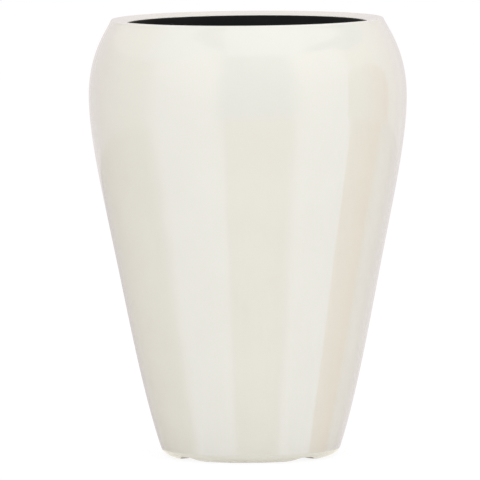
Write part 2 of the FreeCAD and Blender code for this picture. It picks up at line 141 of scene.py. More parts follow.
def join_rounded(first, second, radius, steps=8):
    """Join two runs that meet in a corner by an arc of this radius."""
    heading = (first[-1] - first[-2]).normalized()
    leaving = (second[1] - second[0]).normalized()
    side = 1.0 if heading.x * leaving.y - heading.y * leaving.x > 0 else -1.0
    fine = resampled(first, 1500)
    gap_before = None
    for index in range(len(fine) - 2, 0, -1):
        along = (fine[index + 1] - fine[index - 1]).normalized()
        centre = fine[index] + Vector((-along.y, along.x)) * side * radius
        distance, leave_index, touch = nearest_place(second, centre)
        if distance >= radius and gap_before is not None:
            break
        gap_before = distance
    start_angle = math.atan2(fine[index].y - centre.y, fine[index].x - centre.x)
    end_angle = math.atan2(touch.y - centre.y, touch.x - centre.x)
    turn = (end_angle - start_angle + math.pi) % (2 * math.pi) - math.pi
    arc = [centre + radius * Vector((math.cos(start_angle + turn * step / steps),
                                     math.sin(start_angle + turn * step / steps)))
           for step in range(steps + 1)]
    keep = nearest_place(first, fine[index])[1]
    margin = 0.3 * radius / steps
    before = [point for point in first[:keep + 1] if (point - arc[0]).length > margin]
    after = [point for point in second[leave_index + 1:] if (point - arc[-1]).length > margin]
    return before + arc + after


def straight(start, end, steps=1):
    """Points along a straight run."""
    start, end = Vector(start), Vector(end)
    return [start.lerp(end, step / steps) for step in range(steps + 1)]


corner = join_rounded(straight((0, 0), (10, 0)), straight((10, 0), (10, 10)), 2.0)
print("a 2 mm corner starts at", tuple(round(value, 2) for value in corner[1]))

# %% [markdown]
# ## The whole section of the shell
#
# The lip, the riser under it and the ledge that carries the pot are one turned-in return of the
# laminate. The section starts at the drain hole, runs out under the sole, up the outside, over
# the crest and down the lip, in under the lip to the ledge, back to the wall and down to the
# floor. It is one closed line, so the turned shell is watertight.

# %% The closed section
LEDGE_RADIUS, LEDGE_HEIGHT = 178.0, 720.0
LEDGE_THICK = 6.0
DRAIN_RADIUS = 12.0
INNER_FLOOR, DRAIN_TOP = 13.0, 7.0


def shell_section():
    lip_edge = (LIP_RADIUS, RIM_HEIGHT - LIP_DROP)
    riser_foot = (LIP_RADIUS, LEDGE_HEIGHT)
    ledge_under = LEDGE_HEIGHT - LEDGE_THICK
    riser_back = LIP_RADIUS + WALL
    sole = straight((DRAIN_RADIUS, SOLE_HEIGHT), (SOLE_RADIUS, SOLE_HEIGHT), 34)
    line = join_rounded(sole, outside, 23.0, 22)
    line = join_rounded(line, straight((RIM_RADIUS, RIM_HEIGHT), lip_edge, 10), 3.5, 12)
    line = join_rounded(line, straight(lip_edge, riser_foot, 4), 1.5, 8)
    line += straight(riser_foot, (LEDGE_RADIUS, LEDGE_HEIGHT), 4)[1:]
    ledge_nose = straight((LEDGE_RADIUS, LEDGE_HEIGHT), (LEDGE_RADIUS, ledge_under), 2)
    line = join_rounded(line, ledge_nose, 0.8, 4)
    line = join_rounded(line, straight((LEDGE_RADIUS, ledge_under), (riser_back, ledge_under), 4), 0.8, 4)
    under_lip = RIM_HEIGHT - (RIM_RADIUS - riser_back) * LIP_SLOPE
    under_lip -= LEDGE_THICK * math.sqrt(1 + LIP_SLOPE ** 2)
    line += straight((riser_back, ledge_under), (riser_back, under_lip), 4)[1:]
    beyond_wall = 240.0
    reach = Vector((beyond_wall, under_lip + (beyond_wall - riser_back) * LIP_SLOPE))
    downwards = inside[::-1]
    for index, (start, end) in enumerate(zip(downwards, downwards[1:])):
        meeting = intersect_line_line_2d(line[-1], reach, start, end)
        if meeting:
            break
    line += straight(line[-1], meeting, 3)[1:] + downwards[index + 1:]
    line = [point for point in line if not (point.y < INNER_FLOOR and point in downwards)]
    edge = Vector((line[-1].x - 0.05, INNER_FLOOR))
    drain_edge = (DRAIN_RADIUS, INNER_FLOOR)
    line = join_rounded(line + [edge], straight(edge, drain_edge, 12), 20.0, 16)
    line = join_rounded(line, straight(drain_edge, (DRAIN_RADIUS, DRAIN_TOP), 3), 0.5, 3)
    return line


section = shell_section()
print(f"section of the shell: {len(section)} points")

# %% [markdown]
# ## Turning a section round the axis
#
# A potter's wheel in code: each point of the section becomes a ring of vertices, and
# neighbouring rings are joined by four-sided faces. The Screw modifier does the same, but with
# the rings in our own hands, single vertices can be moved afterwards, which the feet need.

# %% A turned mesh
MM = 0.001
SLICES = 480


def turned_mesh(name, points, slices, closed=True):
    """Turn (radius, height) points in millimetres round the Z axis into a mesh."""
    vertices, faces = [], []
    for point in points:
        for step in range(slices):
            angle = 2 * math.pi * step / slices
            vertices.append((point.x * math.cos(angle) * MM, point.x * math.sin(angle) * MM,
                             point.y * MM))
    rows = len(points) if closed else len(points) - 1
    for row in range(rows):
        low, high = row * slices, (row + 1) % len(points) * slices
        for step in range(slices):
            after = (step + 1) % slices
            faces.append((low + step, low + after, high + after, high + step))
    mesh = bpy.data.meshes.new(name)
    mesh.from_pydata(vertices, [], faces)
    mesh.polygons.foreach_set("use_smooth", [True] * len(mesh.polygons))
    mesh.update()
    return mesh


def place(name, mesh, body):
    """Put a mesh into the scene as a piece that moves with a body of the planter."""
    piece = bpy.data.objects.new(name, mesh)
    bpy.context.scene.collection.objects.link(piece)
    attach(piece, body)
    return piece


shell_mesh = turned_mesh("lacquered_shell", section, SLICES)
print(f"turned shell: {len(shell_mesh.vertices)} vertices")

# %% [markdown]
# ## Four low feet
#
# Two shallow channels cross under the base and part it into four feet. Seen along a channel its
# section is a bell: a flat ceiling 7 mm above the ground, whose sides swing down in a long S. The
# base is lifted to that ceiling wherever it lies lower. A soft maximum does it without a
# knife-edge: it blends the two heights over a millimetre or two, as the thick lacquer does.

# %% Lift the base into the channels
CEILING, HALF_WIDTH, SIDE_RADIUS = 7.0, 8.0, 28.4
CHANNEL_LOW = 0.7
BLEND = 1.6
LIFTED_UP_TO = 60.0


def channel_height(distance):
    """Height of a channel's underside at this distance from its middle line."""
    beside = abs(distance) - HALF_WIDTH
    if beside <= 0:
        return CEILING
    swing = math.acos(1 - (CEILING - CHANNEL_LOW) / (2 * SIDE_RADIUS))
    half_reach = SIDE_RADIUS * math.sin(swing)
    if beside < half_reach:
        return CEILING - SIDE_RADIUS + math.sqrt(SIDE_RADIUS ** 2 - beside ** 2)
    rest = 2 * half_reach - beside
    if rest > 0:
        return CHANNEL_LOW + SIDE_RADIUS - math.sqrt(SIDE_RADIUS ** 2 - rest ** 2)
    return CHANNEL_LOW


def soft_maximum(first, second, blend):
    """The larger of two heights, with the change from one to the other rounded off."""
    overlap = max(0.0, blend - abs(first - second)) / blend
    return max(first, second) + overlap ** 2 * blend / 4


low_rows = next(index for index, point in enumerate(section) if point.y >= LIFTED_UP_TO)
for vertex in shell_mesh.vertices[:low_rows * SLICES]:
    x, y, z = vertex.co / MM
    ceiling = max(channel_height((x - y) / math.sqrt(2)), channel_height((x + y) / math.sqrt(2)))
    if ceiling > CHANNEL_LOW + 0.05 and z < ceiling + BLEND:
        vertex.co.z = soft_maximum(z, ceiling, BLEND) * MM
shell_mesh.update()
feet_low = min(vertex.co.z for vertex in shell_mesh.vertices)
print(f"lowest point of the feet: {feet_low / MM:.2f} mm")

# %% [markdown]
# ## Which faces are lacquered
#
# The lacquer covers everything that shows: sole, outside, crest and lip down to the ledge. The
# inside is left in the grey-black flow coat that seals the laminate. A mesh can carry both
# finishes, one in each material slot, and each face says which one it wears.

# %% Lacquer outside, flow coat inside
riser_foot = Vector((LIP_RADIUS, LEDGE_HEIGHT))
lacquered_rows = next(index for index, point in enumerate(section) if (point - riser_foot).length < 0.01)
for face in shell_mesh.polygons:
    face.material_index = 0 if face.index // SLICES < lacquered_rows else 1
shell = place("lacquered_shell", shell_mesh, "shell")
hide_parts("outer_shell")
print(f"rings in lacquer: {lacquered_rows} of {len(section)}")

# %% [markdown]
# ## Building materials from nodes
#
# Every finish here is procedural: noise and other textures are worked out at each point of the
# surface from its place in the object, so nothing has to be unwrapped. The helpers below keep
# each recipe short: one adds a node, one joins two sockets. Numbers that are the same all over
# are set straight on the shader.

# %% Helpers for node materials
def new_finish(name, **settings):
    """A material with a principled shader whose constant sockets are set by name."""
    finish = bpy.data.materials.new(name)
    finish.use_nodes = True
    shader = finish.node_tree.nodes["Principled BSDF"]
    for socket, value in settings.items():
        shader.inputs[socket.replace("_", " ")].default_value = value
    return finish, shader


def add_node(finish, kind, **settings):
    """Add a node; settings that are sockets of the node are set as its values."""
    node = finish.node_tree.nodes.new(kind)
    for key, value in settings.items():
        label = key.replace("_", " ")
        if label in node.inputs:
            node.inputs[label].default_value = value
        else:
            setattr(node, key, value)
    return node


def wire(finish, source, target):
    finish.node_tree.links.new(source, target)


def object_noise(finish, scale, detail=2.0, roughness=0.5, stretch=(1.0, 1.0, 1.0)):
    """Noise in the object's own metres, so that it keeps its real scale."""
    coordinates = add_node(finish, "ShaderNodeTexCoord")
    mapping = add_node(finish, "ShaderNodeMapping", Scale=stretch)
    noise = add_node(finish, "ShaderNodeTexNoise", Scale=scale, Detail=detail, Roughness=roughness)
    wire(finish, coordinates.outputs["Object"], mapping.inputs["Vector"])
    wire(finish, mapping.outputs["Vector"], noise.inputs["Vector"])
    return noise.outputs["Fac"]


def colours_by(finish, factor, first, second, start=0.35, end=0.65):
    """A smooth change between two colours, driven by a texture."""
    ramp = add_node(finish, "ShaderNodeValToRGB")
    ramp.color_ramp.elements[0].position = start
    ramp.color_ramp.elements[1].position = end
    ramp.color_ramp.elements[0].color = (*first, 1.0)
    ramp.color_ramp.elements[1].color = (*second, 1.0)
    wire(finish, factor, ramp.inputs["Fac"])
    return ramp.outputs["Color"]


def values_by(finish, factor, low, high):
    """Map a texture's 0 to 1 onto a range of values."""
    reach = add_node(finish, "ShaderNodeMapRange", To_Min=low, To_Max=high)
    wire(finish, factor, reach.inputs["Value"])
    return reach.outputs["Result"]


def bump_by(finish, shader, height, depth, strength=1.0, sockets=("Normal",)):
    """Tilt the surface by a texture; depth is the real height of the bumps in metres."""
    bump = add_node(finish, "ShaderNodeBump", Strength=strength, Distance=depth)
    wire(finish, height, bump.inputs["Height"])
    for socket in sockets:
        wire(finish, bump.outputs["Normal"], shader.inputs[socket])


print("helpers ready")

# %% [markdown]
# ## Pearl lacquer
#
# The real finish is an ivory base with fine pearl pigment under a hard clear coat, polished until
# lamps and walls show in it. The principled shader has that build: a base colour, and a coat
# layer over it. Two tones a shade apart, mixed by very soft noise, give the cloudiness of the
# pigment. A faint ripple some millimetres across, the orange peel of a sprayed coat, keeps
# reflections from looking like plastic film.

# %% The pearl lacquer
lacquer, lacquer_shader = new_finish(
    "pearl_lacquer", Roughness=0.08, IOR=1.6, Coat_Weight=1.0, Coat_Roughness=0.02, Coat_IOR=1.65)
clouds = object_noise(lacquer, 9.0, 3.0)
wire(lacquer, colours_by(lacquer, clouds, (0.798, 0.775, 0.693), (0.812, 0.791, 0.709)),
     lacquer_shader.inputs["Base Color"])
pigment = object_noise(lacquer, 240.0, 1.0)
wire(lacquer, values_by(lacquer, pigment, 0.06, 0.10), lacquer_shader.inputs["Roughness"])
peel = object_noise(lacquer, 160.0, 2.0)
bump_by(lacquer, lacquer_shader, peel, 0.00002, 0.35, ("Normal", "Coat Normal"))
shell.data.materials.append(lacquer)
print("lacquer:", len(lacquer.node_tree.nodes), "nodes")

# %% [markdown]
# ## Flow coat
#
# Brushed on by hand inside the mould, the flow coat is dull grey-black with the glass fibres
# showing through as short streaks. Noise stretched along the height gives the streaks, and the
# same noise lifts the surface a little.

# %% The flow coat inside the shell
flow_coat, flow_shader = new_finish("flow_coat", Roughness=0.7, IOR=1.45)
streaks = object_noise(flow_coat, 90.0, 4.0, 0.6, (1.0, 1.0, 0.25))
wire(flow_coat, colours_by(flow_coat, streaks, (0.022, 0.022, 0.021), (0.045, 0.044, 0.041)),
     flow_shader.inputs["Base Color"])
wire(flow_coat, values_by(flow_coat, streaks, 0.6, 0.85), flow_shader.inputs["Roughness"])
bump_by(flow_coat, flow_shader, streaks, 0.0004, 0.6)
shell.data.materials.append(flow_coat)
print("flow coat:", len(flow_coat.node_tree.nodes), "nodes")

# %% [markdown]
# ## The planting insert
#
# A black pot, injection moulded with 3 mm walls, hangs by its flange on the shell's ledge. Its
# upstand lines the riser, so from outside it is all that shows within the lip. It is turned like
# the shell, with the small roundings that a mould leaves on every edge.

# %% The pot's section
def insert_section():
    line = straight((0.4, 400.0), (137.0, 400.0), 20)
    line = join_rounded(line, straight((137.0, 400.0), (137.0, 395.0), 2), 1.0, 3)
    line = join_rounded(line, straight((137.0, 395.0), (140.0, 395.0), 2), 0.0001, 1)
    line = join_rounded(line, straight((140.0, 395.0), (176.0, 720.0), 24), 1.0, 4)
    line = join_rounded(line, straight((176.0, 720.0), (203.5, 720.0), 6), 1.0, 3)
    line = join_rounded(line, straight((203.5, 720.0), (203.5, 742.5), 5), 1.5, 5)
    line = join_rounded(line, straight((203.5, 742.5), (200.5, 742.5), 4), 1.2, 5)
    line = join_rounded(line, straight((200.5, 742.5), (200.5, 723.0), 5), 1.2, 5)
    line = join_rounded(line, straight((200.5, 723.0), (173.0, 723.0), 8), 2.0, 5)
    line = join_rounded(line, straight((173.0, 723.0), (137.0, 403.0), 24), 1.5, 5)
    line = join_rounded(line, straight((137.0, 403.0), (0.4, 403.0), 20), 8.0, 9)
    return line


pot_line = insert_section()
pot_mesh = turned_mesh("planting_insert_pot", pot_line, 288)
pot = place("planting_insert_pot", pot_mesh, "insert")
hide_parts("planting_insert")
print(f"pot: {len(pot_line)} points in its section")

# %% [markdown]
# ## Seep holes
#
# Eight holes in the pot's floor let spare water through to the space below. A Boolean modifier
# subtracts eight pegs from the turned pot. Its result is applied straight away, so that the pegs
# can be thrown away and the piece is a plain mesh again.

# %% Drill the seep holes
def pegs_mesh(count, circle, radius, low, high, sides=40):
    """Upright pegs on a circle round the axis, each a closed prism."""
    vertices, faces = [], []
    for peg in range(count):
        turn = 2 * math.pi * peg / count
        middle = Vector((circle * math.cos(turn), circle * math.sin(turn)))
        first = len(vertices)
        for height in (low, high):
            for side in range(sides):
                angle = 2 * math.pi * side / sides
                vertices.append(((middle.x + radius * math.cos(angle)) * MM,
                                 (middle.y + radius * math.sin(angle)) * MM, height * MM))
        for side in range(sides):
            after = (side + 1) % sides
            faces.append((first + side, first + after, first + sides + after, first + sides + side))
        faces.append(tuple(first + side for side in reversed(range(sides))))
        faces.append(tuple(first + sides + side for side in range(sides)))
    mesh = bpy.data.meshes.new("pegs")
    mesh.from_pydata(vertices, [], faces)
    return mesh


pegs = bpy.data.objects.new("pegs", pegs_mesh(8, 90.0, 6.0, 396.0, 408.0))
bpy.context.scene.collection.objects.link(pegs)
drill = pot.modifiers.new("seep_holes", "BOOLEAN")
drill.object = pegs
drill.operation = "DIFFERENCE"
drill.solver = "EXACT"
drilled = bpy.data.meshes.new_from_object(pot.evaluated_get(bpy.context.evaluated_depsgraph_get()))
pot.modifiers.clear()
pot.data = drilled
bpy.data.objects.remove(pegs)
print(f"drilled pot: {len(drilled.vertices)} vertices")

# %% [markdown]
# ## Lugs for the handles
#
# Four ears stand on the flange, and each holds one end of a wire handle in a round eye. An ear
# is a plate with a round top: rays from the middle of its eye meet the outline, and loops of
# points at several depths make the eye, the two faces and the softened edges between them.

# %% The four lugs
GRIP_RADIUS, BEND_RADIUS = 187.0, 8.0
HALF_ANGLE = math.radians(40.0)
HINGE_ACROSS = (GRIP_RADIUS + BEND_RADIUS) * math.cos(HALF_ANGLE) - BEND_RADIUS
HINGE_BEND = (GRIP_RADIUS + BEND_RADIUS) * math.sin(HALF_ANGLE)
HINGE_HEIGHT = 726.4


def lug_outline(angle, inset):
    """Distance from the eye's centre to the lug's outline along a ray."""
    top = 6.5 - inset
    if math.sin(angle) >= 0:
        return top
    foot = HINGE_HEIGHT - 722.0
    return min(top / max(abs(math.cos(angle)), 1e-6), foot / max(-math.sin(angle), 1e-6))


def lug_mesh(across, near):
    rays = 64
    eye, far = 3.1, near + math.copysign(6.0, near)
    step = math.copysign(1.0, near)
    loops = [(lambda a: eye, near + 0.4 * step), (lambda a: eye + 0.4, near),
             (lambda a: lug_outline(a, 0.9), near), (lambda a: lug_outline(a, 0.25), near + 0.25 * step),
             (lambda a: lug_outline(a, 0.0), near + 0.9 * step),
             (lambda a: lug_outline(a, 0.0), far - 0.9 * step),
             (lambda a: lug_outline(a, 0.25), far - 0.25 * step), (lambda a: lug_outline(a, 0.9), far),
             (lambda a: eye + 0.4, far), (lambda a: eye, far - 0.4 * step)]
    vertices, faces = [], []
    for reach, depth in loops:
        for ray in range(rays):
            angle = 2 * math.pi * ray / rays
            vertices.append(((across + reach(angle) * math.cos(angle)) * MM, depth * MM,
                             (HINGE_HEIGHT + reach(angle) * math.sin(angle)) * MM))
    for row in range(len(loops)):
        low, high = row * rays, (row + 1) % len(loops) * rays
        for ray in range(rays):
            after = (ray + 1) % rays
            face = (low + ray, low + after, high + after, high + ray)
            faces.append(face if near > 0 else face[::-1])
    mesh = bpy.data.meshes.new("lug")
    mesh.from_pydata(vertices, [], faces)
    mesh.polygons.foreach_set("use_smooth", [True] * len(mesh.polygons))
    return mesh


lugs = []
for across in (HINGE_ACROSS, -HINGE_ACROSS):
    for near in (HINGE_BEND + 1.5, -HINGE_BEND - 1.5):
        lug = place(f"handle_lug_{len(lugs) + 1}", lug_mesh(across, near), "insert")
        lugs.append(lug)
print("lugs:", len(lugs))

# %% [markdown]
# ## Moulded black plastic
#
# Garden-ware plastic comes from a blasted mould: dull, with a fine even grain, and a little
# lighter where it has been rubbed. Fine noise drives the grain and soft noise the rubbed patches.

# %% The black plastic
plastic, plastic_shader = new_finish("moulded_black_plastic", IOR=1.45, Specular_IOR_Level=0.25)
patches = object_noise(plastic, 14.0, 3.0)
wire(plastic, colours_by(plastic, patches, (0.0070, 0.0062, 0.0050), (0.0115, 0.0104, 0.0086)),
     plastic_shader.inputs["Base Color"])
grain = object_noise(plastic, 1400.0, 2.0, 0.6)
wire(plastic, values_by(plastic, grain, 0.45, 0.7), plastic_shader.inputs["Roughness"])
bump_by(plastic, plastic_shader, grain, 0.0001, 0.5)
for piece in (pot, *lugs):
    piece.data.materials.clear()
    piece.data.materials.append(plastic)
print("black plastic on", 1 + len(lugs), "pieces")

# %% [markdown]
# ## Wire handles
#
# Each handle is one length of 6 mm stainless wire. It follows the flange in a long arc and turns
# outwards at both ends into the lugs, so that it can swing up like a bucket's bail. A curve with
# a round bevel is Blender's own way to draw wire; its points carry a radius, which rounds the
# cut ends over.

# %% Bend the handles
WIRE_RADIUS, STUB = 3.0, 10.0
CAP_ANGLES = [math.radians(angle) for angle in (0, 30, 60, 80, 90)]


def handle_route():
    """Half of the wire's line from the middle of the grip to the end of a stub, in mm."""
    grip = []
    for step in range(41):
        angle = HALF_ANGLE * step / 40
        grip.append((GRIP_RADIUS * math.cos(angle), GRIP_RADIUS * math.sin(angle)))
    bend = []
    for step in range(1, 13):
        angle = math.pi + HALF_ANGLE * (1 - step / 12)
        bend.append((HINGE_ACROSS + BEND_RADIUS + BEND_RADIUS * math.cos(angle),
                     HINGE_BEND + BEND_RADIUS * math.sin(angle)))
    stub = [(HINGE_ACROSS, HINGE_BEND + STUB * step / 6) for step in range(1, 6)]
    cap = [(HINGE_ACROSS, HINGE_BEND + STUB - 1.0 + math.sin(angle)) for angle in CAP_ANGLES]
    radii = [1.0] * (len(grip) + len(bend) + len(stub))
    radii += [(WIRE_RADIUS - 1.0 + math.cos(angle)) / WIRE_RADIUS for angle in CAP_ANGLES]
    return grip + bend + stub + cap, radii


def wire_handle(name, side):
    half, radii = handle_route()
    route = [(x, -y) for x, y in reversed(half[1:])] + half
    sizes = radii[:0:-1] + radii
    curve = bpy.data.curves.new(name, "CURVE")
    curve.dimensions = "3D"
    curve.bevel_depth = WIRE_RADIUS * MM
    curve.bevel_resolution = 8
    curve.use_fill_caps = True
    spline = curve.splines.new("POLY")
    spline.points.add(len(route) - 1)
    for point, (x, y), size in zip(spline.points, route, sizes):
        point.co = (side * x * MM, side * y * MM, HINGE_HEIGHT * MM, 1.0)
        point.radius = size
    holder = bpy.data.objects.new(name, curve)
    mesh = bpy.data.meshes.new_from_object(holder)
    mesh.name = name
    mesh.polygons.foreach_set("use_smooth", [True] * len(mesh.polygons))
    bpy.data.objects.remove(holder)
    return mesh


handles = {}
for side, sign in (("right", 1), ("left", -1)):
    handle = place(f"{side}_wire_handle", wire_handle(f"{side}_wire_handle", sign), f"{side}_handle")
    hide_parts(f"{side}_lift_handle")
    handles[side] = handle
print("handles:", [len(handle.data.vertices) for handle in handles.values()], "vertices")

# %% [markdown]
# ## Drawn stainless wire
#
# Wire drawn through a die is bright, with fine scratches along it. A metallic shader with a low
# roughness that varies a little, and a scratch noise drawn out along the wire's run, gives that
# soft satin gleam.

# %% The stainless finish
stainless, stainless_shader = new_finish("drawn_stainless", Metallic=1.0, Anisotropic=0.4)
scratches = object_noise(stainless, 420.0, 3.0, 0.6, (1.0, 0.12, 1.0))
wire(stainless, colours_by(stainless, scratches, (0.52, 0.51, 0.49), (0.66, 0.65, 0.63)),
     stainless_shader.inputs["Base Color"])
wire(stainless, values_by(stainless, scratches, 0.18, 0.36), stainless_shader.inputs["Roughness"])
bump_by(stainless, stainless_shader, scratches, 0.00003, 0.4)
for handle in handles.values():
    handle.data.materials.clear()
    handle.data.materials.append(stainless)
print("stainless:", len(stainless.node_tree.nodes), "nodes")

# %% [markdown]
# ## Drain plug and foot pads
#
# The plug is a rubber stopper with a flange that seals on the floor and a knob to pull. The pads
# are rubber discs bonded into the feet. Both are turned pieces with the rounded edges of moulded
# rubber. The pads stand a millimetre proud, so the lacquer never touches the ground.

# %% The plug
def plug_section():
    line = straight((0.3, 7.5), (11.7, 7.5), 6)
    line = join_rounded(line, straight((11.7, 7.5), (11.7, 13.0), 4), 0.8, 4)
    line += straight((11.7, 13.0), (17.0, 13.0), 3)[1:]
    line = join_rounded(line, straight((17.0, 13.0), (17.0, 16.0), 3), 0.8, 4)
    line = join_rounded(line, straight((17.0, 16.0), (5.0, 16.0), 5), 1.2, 5)
    line = join_rounded(line, straight((5.0, 16.0), (5.0, 22.0), 4), 1.2, 5)
    line = join_rounded(line, straight((5.0, 22.0), (9.0, 22.0), 3), 0.8, 4)
    line = join_rounded(line, straight((9.0, 22.0), (9.0, 28.0), 4), 2.0, 6)
    line = join_rounded(line, straight((9.0, 28.0), (0.3, 28.0), 5), 2.0, 6)
    return line


plug = place("rubber_drain_plug", turned_mesh("rubber_drain_plug", plug_section(), 96), "plug")
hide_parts("drain_plug")
print("plug:", len(plug.data.vertices), "vertices")

# %% The foot pads
def foot_pad_section():
    line = straight((0.3, 0.0), (16.0, 0.0), 8)
    line = join_rounded(line, straight((16.0, 0.0), (16.0, 2.5), 3), 0.7, 4)
    line += straight((16.0, 2.5), (0.3, 2.5), 6)[1:]
    return line


PAD_CIRCLE = 100.0
pads = []
for side, angle in (("right", 0), ("back", 90), ("left", 180), ("front", 270)):
    mesh = turned_mesh(f"{side}_rubber_pad", foot_pad_section(), 96)
    turn = math.radians(angle)
    spot = Vector((math.cos(turn), math.sin(turn), 0.0)) * PAD_CIRCLE * MM
    mesh.transform(Matrix.Translation(spot))
    pad = place(f"{side}_rubber_pad", mesh, "shell")
    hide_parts(f"{side}_foot_pad")
    pads.append(pad)
print("pads:", len(pads))

# %% [markdown]
# ## Rubber
#
# Rubber is nearly black and dull, with a faint bloom that comes to its surface as it ages. A soft
# noise lightens it in places and a fine one roughens it.

# %% The rubber finish
rubber, rubber_shader = new_finish("black_rubber", IOR=1.5, Specular_IOR_Level=0.3)
bloom = object_noise(rubber, 60.0, 4.0, 0.6)
wire(rubber, colours_by(rubber, bloom, (0.016, 0.016, 0.016), (0.032, 0.031, 0.030)),
     rubber_shader.inputs["Base Color"])
skin = object_noise(rubber, 1800.0, 2.0)
wire(rubber, values_by(rubber, skin, 0.62, 0.85), rubber_shader.inputs["Roughness"])
bump_by(rubber, rubber_shader, skin, 0.00008, 0.4)
for piece in (plug, *pads):
    piece.data.materials.append(rubber)
print("rubber on", 1 + len(pads), "pieces")

# %% [markdown]
# ## The camera
#
# The photograph was taken from far away with a long lens, slightly above the rim, so upright
# lines stay upright and the rim is a thin ellipse. The camera stands 15 m away, turned 4.5
# degrees to the planter's right, aims a little beside the axis to frame it as the photograph
# does, and is rolled half a degree.

# %% Set up the camera
TURN = math.radians(4.5)
ROLL = math.radians(-0.51)
DISTANCE, EYE_HEIGHT = 15.0, 1.588
LENS, SENSOR = 660.75, 36.0
PICTURE_WIDTH = 480
PIXELS_ASIDE, PIXELS_UP = 9.0, 3.28

camera_data = bpy.data.cameras.new("camera")
camera_data.lens = LENS
camera_data.sensor_width = SENSOR
camera_data.clip_end = 500.0
camera = bpy.data.objects.new("camera", camera_data)
bpy.context.scene.collection.objects.link(camera)
camera.location = (DISTANCE * math.sin(TURN), -DISTANCE * math.cos(TURN), EYE_HEIGHT)


def facing(target):
    """The camera's turn when it looks at a target, with its roll."""
    level = (target - camera.location).to_track_quat("-Z", "Y")
    return level @ Matrix.Rotation(ROLL, 4, "Z").to_quaternion()


middle = Vector((0.0, 0.0, 0.375))
metres_per_pixel = (middle - camera.location).length * SENSOR / LENS / PICTURE_WIDTH
aim = middle - facing(middle) @ Vector((PIXELS_ASIDE, PIXELS_UP, 0.0)) * metres_per_pixel
camera.rotation_euler = facing(aim).to_euler()
bpy.context.scene.camera = camera
print(f"one pixel is {metres_per_pixel * 1000:.3f} mm at the planter")

# %% [markdown]
# ## A plain floor and backdrop
#
# The photograph's ground is pure white. The floor is a very wide pale disc. To the camera most of
# its light is its own, so it shows as white, and the rest is reflected, so that it still
# darkens softly where the planter shades it. Mirror and glass rays see the same white.

# %% Floor and white surroundings
def seen_directly(finish):
    """1 for rays from the camera, a glossy surface or glass, and 0 for all others."""
    path = add_node(finish, "ShaderNodeLightPath")
    first = add_node(finish, "ShaderNodeMath", operation="MAXIMUM")
    second = add_node(finish, "ShaderNodeMath", operation="MAXIMUM")
    wire(finish, path.outputs["Is Camera Ray"], first.inputs[0])
    wire(finish, path.outputs["Is Glossy Ray"], first.inputs[1])
    wire(finish, first.outputs[0], second.inputs[0])
    wire(finish, path.outputs["Is Transmission Ray"], second.inputs[1])
    return second.outputs[0]


def disc_mesh(name, radius, height, sides=96):
    vertices = [(radius * math.cos(2 * math.pi * side / sides),
                 radius * math.sin(2 * math.pi * side / sides), height) for side in range(sides)]
    mesh = bpy.data.meshes.new(name)
    mesh.from_pydata(vertices, [], [tuple(range(sides))])
    return mesh


paper = bpy.data.materials.new("white_paper")
paper.use_nodes = True
paper.node_tree.nodes.clear()
matt = add_node(paper, "ShaderNodeBsdfDiffuse", Color=(0.9, 0.9, 0.9, 1.0))
glow = add_node(paper, "ShaderNodeEmission", Strength=1.04)
blend = add_node(paper, "ShaderNodeMixShader")
output = add_node(paper, "ShaderNodeOutputMaterial")
wire(paper, values_by(paper, seen_directly(paper), 0.0, 0.88), blend.inputs["Fac"])
wire(paper, matt.outputs[0], blend.inputs[1])
wire(paper, glow.outputs[0], blend.inputs[2])
wire(paper, blend.outputs[0], output.inputs["Surface"])
FLOOR_RADIUS = 150.0
floor = bpy.data.objects.new("studio_floor", disc_mesh("studio_floor", FLOOR_RADIUS, 0.0))
floor.data.materials.append(paper)
bpy.context.scene.collection.objects.link(floor)
print("floor radius:", FLOOR_RADIUS, "m")

# %% The world's light
world = bpy.data.worlds.new("studio")
bpy.context.scene.world = world
world.use_nodes = True
sky = world.node_tree.nodes["Background"]
sky.inputs["Color"].default_value = (1.0, 1.0, 1.0, 1.0)
wire(world, values_by(world, seen_directly(world), 0.8, 1.0), sky.inputs["Strength"])
print("world set")

# %% [markdown]
# ## What the lacquer mirrors
#
# A gloss surface is drawn by what stands round it. Tall pale bands stand in this lacquer beside
# darker ones: soft boxes left and right with a gap between them, the same boxes mirrored once
# more by the floor, a panel overhead and a warm board to the right. Only mirror rays can see
# these cards, so they belong to the studio and neither light nor shade anything. Each ring of
# cards is one strip of mesh round the planter. Its glow is painted on its vertices at a few
# stops, and between two stops it runs over evenly, as the soft edge of a light box does.

# %% A ring of cards
def blended(stops, angle):
    """Colour and top height at an angle, evenly between the stops on either side."""
    for before, after in zip(stops, stops[1:]):
        if before[0] <= angle <= after[0]:
            share = (angle - before[0]) / (after[0] - before[0])
            colour = Vector(before[1]).lerp(Vector(after[1]), share)
            return colour, before[2] + (after[2] - before[2]) * share
    raise ValueError(angle)


def spot_angle(angle, radius, start_radius):
    """Where on a circle a mirrored ray lands that leaves the planter in this direction.

    The ray starts beside the axis, on the planter's own wall, so its landing spot lies a little
    nearer the camera's side than its direction does.
    """
    if abs(angle) >= 180:
        return math.copysign(math.pi, angle)
    turn = math.radians(angle)
    return turn - math.asin(start_radius * math.sin(turn / 2) / radius)


